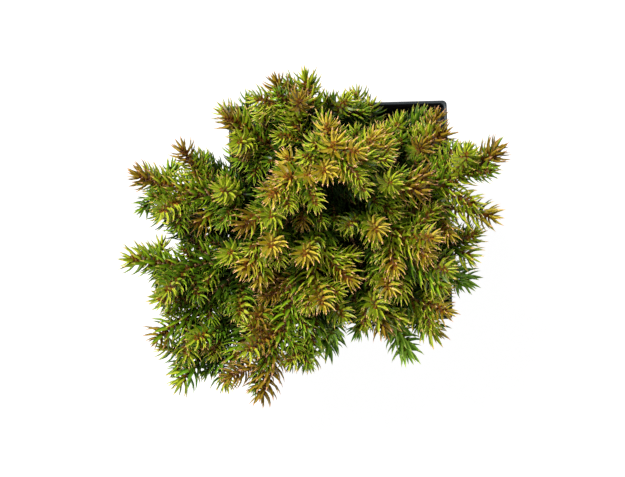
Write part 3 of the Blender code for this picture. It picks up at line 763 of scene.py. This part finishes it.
def needle_tints(shoot, needles, reach, cover, chance):
    """The number of the tint of each of a shoot's needles, darker as painted shade inside the crown."""
    along, at_end = MASS_TINTS[shoot.mass]
    if at_end == "bronze" and shoot.order != STEM and chance.random() > BRONZE_SHOOTS:
        at_end = "lime"
    count = len(needles.behind)
    young = chance.random(count) < np.clip(YOUNG_SURE - needles.behind / YOUNG_REACH, 0.0, 1.0)
    # Painted shade: inner shoots on the trunk and boughs take the shade tint, and most fine shoots a step
    # deeper.
    if shoot.order == INNER:
        along, at_end = "shade", "shade"
    elif shoot.order == FINE and chance.random() > LIVELY:
        along, at_end = DEEPER[along], DEEPER[at_end]
    names = list(TINTS)
    deeper = np.array([names.index(DEEPER[tint]) for tint in names])
    tints = np.where(young, names.index(at_end), names.index(along))
    sky = open_sky(needles.foot, cover) + chance.uniform(-SHADE_SPREAD, SHADE_SPREAD, count)
    inner = np.linalg.norm(needles.foot[:, :2], axis=1) < reach * LIGHT_EDGE
    # A step deeper for old inner needles, partly their own darker colour, partly painted shade; then a
    # step deeper as painted shade under each share of open sky, only the first for outer needles.
    tints = np.where((needles.behind > OLD_REACH) & inner, deeper[tints], tints)
    for number, step in enumerate(SHADE_STEPS):
        tints = np.where((sky < step) & (inner | (number == 0)), deeper[tints], tints)
    return tints


# Materials

def new_material(name, roughness, specular=0.5):
    """A material and its Principled shader."""
    material = bpy.data.materials.new(name)
    material.use_nodes = True
    shader = material.node_tree.nodes["Principled BSDF"]
    shader.inputs["Roughness"].default_value = roughness
    shader.inputs["Specular IOR Level"].default_value = specular
    return material, shader


def noise_colour(material, shader, scale, detail, levels, colours, stretch=(1, 1, 1)):
    """Colours a shader by noise in the object's own coordinates, and returns the noise."""
    tree = material.node_tree
    coords = tree.nodes.new("ShaderNodeTexCoord")
    mapping = tree.nodes.new("ShaderNodeMapping")
    mapping.inputs["Scale"].default_value = stretch
    pattern = tree.nodes.new("ShaderNodeTexNoise")
    pattern.inputs["Scale"].default_value = scale
    pattern.inputs["Detail"].default_value = detail
    ramp = tree.nodes.new("ShaderNodeValToRGB")
    for element, level, colour in zip(ramp.color_ramp.elements, levels, colours):
        element.position = level
        element.color = (*colour, 1.0)
    tree.links.new(coords.outputs["Object"], mapping.inputs["Vector"])
    tree.links.new(mapping.outputs["Vector"], pattern.inputs["Vector"])
    tree.links.new(pattern.outputs["Fac"], ramp.inputs["Fac"])
    tree.links.new(ramp.outputs["Color"], shader.inputs["Base Color"])
    return pattern.outputs["Fac"]


def add_bump(material, shader, height, strength, distance):
    """Bumps from a noise, finer than the mesh's own relief."""
    tree = material.node_tree
    bump = tree.nodes.new("ShaderNodeBump")
    bump.inputs["Strength"].default_value = strength
    bump.inputs["Distance"].default_value = distance
    tree.links.new(height, bump.inputs["Height"])
    tree.links.new(bump.outputs["Normal"], shader.inputs["Normal"])


def needle_material(tint, zone, colour):
    """A waxy needle's plain colour in one of its zones."""
    roughness, specular = (0.60, 0.08) if tint == "deep" else (0.34, 0.16)
    material, shader = new_material(f"needle_{tint}_{zone}", roughness, specular)
    shader.inputs["Base Color"].default_value = (*colour, 1.0)
    return material


def bark_material():
    """Red-brown fibrous bark."""
    material, shader = new_material("bark", roughness=0.82)
    pattern = noise_colour(material, shader, scale=900, detail=6, levels=(0.35, 0.68),
                           colours=((0.055, 0.022, 0.010), (0.260, 0.120, 0.050)),
                           stretch=(1, 1, 0.15))
    add_bump(material, shader, pattern, strength=0.6, distance=0.0004)
    return material


def twig_material():
    """Orange-brown young twigs."""
    material, shader = new_material("twig", roughness=0.55)
    noise_colour(material, shader, scale=500, detail=4, levels=(0.35, 0.65),
                 colours=((0.080, 0.034, 0.010), (0.200, 0.100, 0.022)))
    return material


def pot_material():
    """Black moulded plastic with a dull, scuffed sheen."""
    material, shader = new_material("pot_plastic", roughness=0.5, specular=0.35)
    pattern = noise_colour(material, shader, scale=60, detail=8, levels=(0.35, 0.75),
                           colours=((0.0170, 0.0215, 0.0245), (0.0300, 0.0370, 0.0410)))
    sheen = material.node_tree.nodes.new("ShaderNodeMapRange")
    sheen.inputs["To Min"].default_value = 0.30
    sheen.inputs["To Max"].default_value = 0.52
    material.node_tree.links.new(pattern, sheen.inputs["Value"])
    material.node_tree.links.new(sheen.outputs["Result"], shader.inputs["Roughness"])
    add_bump(material, shader, pattern, strength=0.25, distance=0.0004)
    return material


def soil_material():
    """Dark crumbly compost."""
    material, shader = new_material("compost", roughness=0.95)
    pattern = noise_colour(material, shader, scale=420, detail=8, levels=(0.35, 0.75),
                           colours=((0.006, 0.004, 0.003), (0.035, 0.022, 0.013)))
    add_bump(material, shader, pattern, strength=0.8, distance=0.0006)
    return material


def floor_material():
    """A plain pale floor with a glow of its own."""
    material, shader = new_material("floor", roughness=0.9)
    shader.inputs["Base Color"].default_value = (*FLOOR_COLOUR, 1.0)
    shader.inputs["Emission Color"].default_value = (1.0, 1.0, 1.0, 1.0)
    shader.inputs["Emission Strength"].default_value = FLOOR_GLOW
    return material


# Pieces

def place(thing, slot, *nodes):
    """Rides a piece on the plant and hides the parts that it replaces; its slot is not used."""
    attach(thing, BODY)
    if nodes:
        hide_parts(*nodes)


def rounded_square(half, corner, level):
    """Points round a square with rounded corners at a height."""
    points = []
    for quarter in range(4):
        middle = math.pi / 4 + quarter * math.pi / 2
        centre_x = math.copysign(half - corner, math.cos(middle))
        centre_y = math.copysign(half - corner, math.sin(middle))
        for step in range(CORNER_STEPS + 1):
            turn = quarter * math.pi / 2 + step * math.pi / 2 / CORNER_STEPS
            points.append((centre_x + corner * math.cos(turn), centre_y + corner * math.sin(turn), level))
    return points


def pot_profile():
    """Half width, height and corner radius of each ring, up the outside and down the inside."""
    profile = []
    for share in np.linspace(0, 1, ROUND_RINGS):
        turn = share * math.pi / 2
        half = FOOT_HALF - FOOT_ROUND * (1 - math.sin(turn))
        profile.append((half, FOOT_ROUND * (1 - math.cos(turn)), POT_CORNER))
    outside = [*np.linspace(WALL_FROM, WALL_TOP, WALL_RINGS),
               *np.linspace(BAND_FOOT, POT_HEIGHT - LIP_OUTSIDE, BAND_RINGS)]
    for level in outside:
        profile.append((pot_half(level), level, POT_CORNER))
    lip = POT_WALL / 2
    for share in np.linspace(LIP_FROM, 1, ROUND_RINGS):
        turn = share * math.pi
        half = RIM_HALF - lip + lip * math.cos(turn)
        profile.append((half, POT_HEIGHT - lip + lip * math.sin(turn), POT_CORNER))
    inside = [*np.linspace(POT_HEIGHT - LIP_INSIDE, BAND_FOOT, BAND_RINGS),
              *np.linspace(WALL_TOP, POT_WALL + FLOOR_BEVEL, WALL_RINGS)]
    for level in inside:
        profile.append((pot_half(level) - POT_WALL, level, INNER_CORNER))
    profile.append((pot_half(POT_WALL) - POT_WALL - FLOOR_BEVEL, POT_WALL, INNER_CORNER))
    return profile


def make_drains():
    """The cylinders that cut the drain holes."""
    bm = bmesh.new()
    for number in range(DRAIN_COUNT):
        turn = (number + 0.5) * 2 * math.pi / DRAIN_COUNT
        made = bmesh.ops.create_cone(bm, cap_ends=True, segments=DRAIN_SIDES, radius1=DRAIN_RADIUS,
                                     radius2=DRAIN_RADIUS, depth=DRAIN_DEPTH)
        shift = Vector((DRAIN_REACH * math.cos(turn), DRAIN_REACH * math.sin(turn), 0.0))
        bmesh.ops.translate(bm, verts=made["verts"], vec=shift)
    mesh = bpy.data.meshes.new("drains")
    bm.to_mesh(mesh)
    bm.free()
    return add_object("drains", mesh)


def cut(thing, cutter):
    """Takes the cutter's shape out of an object, and removes the cutter."""
    modifier = thing.modifiers.new("cut", "BOOLEAN")
    modifier.operation = "DIFFERENCE"
    modifier.object = cutter
    modifier.solver = "EXACT"
    bpy.context.view_layer.update()
    graph = bpy.context.evaluated_depsgraph_get()
    mesh = bpy.data.meshes.new_from_object(thing.evaluated_get(graph))
    thing.modifiers.clear()
    thing.data = mesh
    bpy.data.objects.remove(cutter)


def make_pot(material):
    """The tapered shell with its rim band, rolled lip and drain holes."""
    rings = [rounded_square(half, corner, level) for half, level, corner in pot_profile()]
    faces = tube_faces(len(rings), len(rings[0]))
    pot = object_from_arrays("pot_shell", np.concatenate(rings), faces, POT_EDGE, [material])
    cut(pot, make_drains())
    pot.data.shade_smooth()
    pot.data.set_sharp_from_angle(angle=POT_EDGE)
    place(pot, "pot", "pot")


def make_soil(material):
    """The compost: a block with a rough, lumpy top."""
    clear = POT_WALL + GAP
    half = float(pot_half(SOIL_TOP)) - clear
    size = SOIL_CELLS + 1
    axis = np.linspace(-half, half, size)
    top = []
    for x in axis:
        for y in axis:
            spot = Vector((x, y, 0.0))
            lump = sum(noise.noise(spot * scale) * height for scale, height in SOIL_LUMPS)
            top.append((x, y, SOIL_TOP - SOIL_SINK + lump))
    low = float(pot_half(clear)) - clear
    bottom = [(-low, -low, clear), (low, -low, clear), (low, low, clear), (-low, low, clear)]

    here = (np.arange(SOIL_CELLS)[:, None] * size + np.arange(SOIL_CELLS)).ravel()
    quads = np.stack([here, here + size, here + size + 1, here + 1], axis=1)
    south = np.arange(size) * size
    east = SOIL_CELLS * size + np.arange(size)
    north = south[::-1] + SOIL_CELLS
    west = np.arange(size)[::-1]
    under = len(top) + np.arange(4)
    sides = []
    for number, edge in enumerate((south, east, north, west)):
        sides.append([*edge[::-1], under[number], under[(number + 1) % 4]])
    faces = [quads, np.array(sides), under[None, ::-1]]
    soil = object_from_arrays("compost", top + bottom, faces, ROUGH_EDGE, [material])
    place(soil, "soil", "soil")


def make_crumbs(material):
    """Crumbs and bark chips that lie on the compost."""
    chance = np.random.default_rng(SEED)
    bm = bmesh.new()
    bmesh.ops.create_icosphere(bm, subdivisions=1, radius=1.0)
    shape = np.array([vert.co[:] for vert in bm.verts])
    faces = np.array([[vert.index for vert in face.verts] for face in bm.faces])
    bm.free()
    half = float(pot_half(SOIL_TOP)) - POT_WALL - CRUMB_SIZES[1]
    lumps, triangles = [], []
    for number in range(CRUMBS):
        size = CRUMB_SIZES[0] + (CRUMB_SIZES[1] - CRUMB_SIZES[0]) * chance.random() ** 2
        stretch = chance.uniform(*CRUMB_STRETCH, 3) * size
        dents = chance.uniform(-CRUMB_DENTS, CRUMB_DENTS, (len(shape), 1))
        x, y, z = (shape * (1 + dents) * stretch).T
        turn = chance.uniform(0, 2 * math.pi)
        lump = np.stack([x * math.cos(turn) - y * math.sin(turn),
                         x * math.sin(turn) + y * math.cos(turn), z], axis=1)
        spot = np.array([chance.uniform(-half, half), chance.uniform(-half, half),
                         SOIL_TOP + CRUMB_LIFT])
        if math.hypot(spot[0], spot[1]) >= CRUMB_CLEAR:
            triangles.append(faces + len(lumps) * len(shape))
            lumps.append(lump + spot)
    crumbs = object_from_arrays("compost_crumbs", np.concatenate(lumps), [np.concatenate(triangles)],
                                ROUGH_EDGE, [material])
    place(crumbs, "soil")


def bark_tube(name, curve, radii, sides, depth, material):
    """A limb whose surface has the bark's lengthwise ridges."""
    relief = np.zeros((len(curve), sides))
    for row, point in enumerate(curve):
        for column in range(sides):
            turn = column * 2 * math.pi / sides
            spot = Vector((math.cos(turn) * BARK_ROUND, math.sin(turn) * BARK_ROUND,
                           point[2] * BARK_UP + point[0] * BARK_ALONG))
            ridge = abs(noise.noise(spot)) * 2 - 0.5
            fine = noise.noise(spot * BARK_FINER) * BARK_FINE_SHARE
            relief[row, column] = (ridge + fine) * depth
    swollen = np.asarray(radii)[:, None] * (1 + relief)
    points, quads, ends = tube_arrays(curve, swollen, sides)
    return object_from_arrays(name, points, [quads, ends], ROUGH_EDGE, [material])


def make_wood(boughs, material):
    """The trunk and the boughs, each with its bark."""
    flare_top = SOIL_TOP + 2 * FLARE_HEIGHT
    heights = [*np.linspace(SOIL_TOP - TRUNK_SINK, flare_top, FLARE_RINGS)[:-1],
               *np.linspace(flare_top, TRUNK_TOP, TRUNK_RINGS)]
    curve = np.array([trunk_axis(height) for height in heights])
    radii = [trunk_radius(height) for height in heights]
    bark = bark_tube("trunk_bark", curve, radii, TRUNK_SIDES, TRUNK_RELIEF, material)
    place(bark, "bark", "trunk")
    for name, bough in boughs.items():
        curve, radii = smoothed(bough, 0.0)
        known = np.arange(CURVE_POINTS)
        at = np.linspace(0, CURVE_POINTS - 1, BOUGH_RINGS)
        radii = np.interp(at, known, radii)
        bark = bark_tube("bark_" + name, between(at, known, curve), radii, BOUGH_SIDES,
                         BOUGH_RELIEF, material)
        place(bark, "bark", "bough_" + name)


def make_twigs(mass, tubes, material):
    """The twigs of one mass, joined."""
    points, quads, ends = zip(*tubes)
    firsts = np.cumsum([0] + [len(block) for block in points[:-1]])
    faces = [np.concatenate([block + first for block, first in zip(blocks, firsts)])
             for blocks in (quads, ends)]
    twigs = object_from_arrays("twigs_" + mass, np.concatenate(points), faces, ROUGH_EDGE, [material])
    place(twigs, "bark", "foliage_" + mass)


def make_foliage(shoots, wood, twig, palette):
    """Twigs and needles of each mass, from its stem to its finest shoots."""
    cover = crown_cover(shoots)
    for number, mass in enumerate(dict.fromkeys(shoot.mass for shoot in shoots)):
        chance = np.random.default_rng(SEED + number)
        family = [shoot for shoot in shoots if shoot.mass == mass]
        reach = max(math.hypot(shoot.path[-1].x, shoot.path[-1].y) for shoot in family)
        tubes, needles, tints = [], [], []
        for shoot in family:
            curve, radii = smoothed(shoot, TIP_GROWTH)
            tubes.append(tube_arrays(curve, radii, TWIG_SIDES))
            made = shoot_needles(curve, NEEDLE_LENGTHS[shoot.order], chance)
            needles.append(made)
            tints.append(needle_tints(shoot, made, reach, cover, chance))
        make_twigs(mass, tubes, twig)
        joined = Needles(*(np.concatenate(blocks) for blocks in zip(*needles)))
        clear = needles_clear(joined, wood)
        kept = Needles(*(block[clear] for block in joined))
        leaves = make_needles("needles_" + mass, kept, np.concatenate(tints)[clear], palette)
        tier = "top" if mass == "leader" else mass.split("_")[0]
        place(leaves, "foliage_" + tier, "foliage_" + mass)


# The studio

def make_floor():
    """The floor that the pot stands on."""
    bpy.ops.mesh.primitive_plane_add(size=FLOOR_SIZE, location=(0, 0, 0))
    floor = bpy.context.object
    floor.name = "floor"
    floor.data.materials.append(floor_material())


def make_world():
    """Pale walls that fade into a darker ceiling."""
    world = bpy.data.worlds.new("studio")
    world.use_nodes = True
    tree = world.node_tree
    coords = tree.nodes.new("ShaderNodeTexCoord")
    parts = tree.nodes.new("ShaderNodeSeparateXYZ")
    fade = tree.nodes.new("ShaderNodeMapRange")
    values = (*WALL_LEVELS, WALL_LIGHT, CEILING_LIGHT)
    for name, value in zip(("From Min", "From Max", "To Min", "To Max"), values):
        fade.inputs[name].default_value = value
    tree.links.new(coords.outputs["Generated"], parts.inputs["Vector"])
    tree.links.new(parts.outputs["Z"], fade.inputs["Value"])
    tree.links.new(fade.outputs["Result"], tree.nodes["Background"].inputs["Strength"])
    tree.nodes["Background"].inputs["Color"].default_value = (1.0, 1.0, 1.0, 1.0)
    bpy.context.scene.world = world


def make_lights():
    """A small key light and a large, weak fill light, both high above the plant."""
    for name, spot, size, power in LIGHTS:
        light = bpy.data.lights.new(name, "AREA")
        light.size = size
        light.energy = power
        lamp = add_object(name, light)
        lamp.location = spot
        direction = Vector(LIGHT_AIM) - Vector(spot)
        lamp.rotation_euler = direction.to_track_quat("-Z", "Y").to_euler()


def make_camera():
    """Straight above the pot, as in the photograph."""
    data = bpy.data.cameras.new("camera")
    data.sensor_width = SENSOR
    data.lens = SENSOR * (CAMERA_ABOVE_RIM / PIXEL_AT_RIM) / IMAGE_WIDTH
    data.clip_start = CAMERA_NEAREST
    camera = add_object("camera", data)
    camera.location = (*CAMERA_PLACE, POT_HEIGHT + CAMERA_ABOVE_RIM)
    camera.rotation_euler = (0.0, 0.0, math.radians(CAMERA_TURN))
    bpy.context.scene.camera = camera


def main():
    """Builds the dressed plant and its studio."""
    make_camera()
    make_floor()
    make_world()
    make_lights()
    make_pot(pot_material())
    compost = soil_material()
    make_soil(compost)
    make_crumbs(compost)
    trunk, boughs, shoots, wood = grow()
    fine = grow_fine_shoots(trunk, boughs, shoots, wood)
    make_wood(boughs, bark_material())
    palette = [needle_material(tint, zone, colour) for tint, colours in TINTS.items()
               for zone, colour in enumerate(colours)]
    make_foliage(shoots + fine, wood, twig_material(), palette)
    bpy.context.scene.view_settings.view_transform = "Standard"


main()
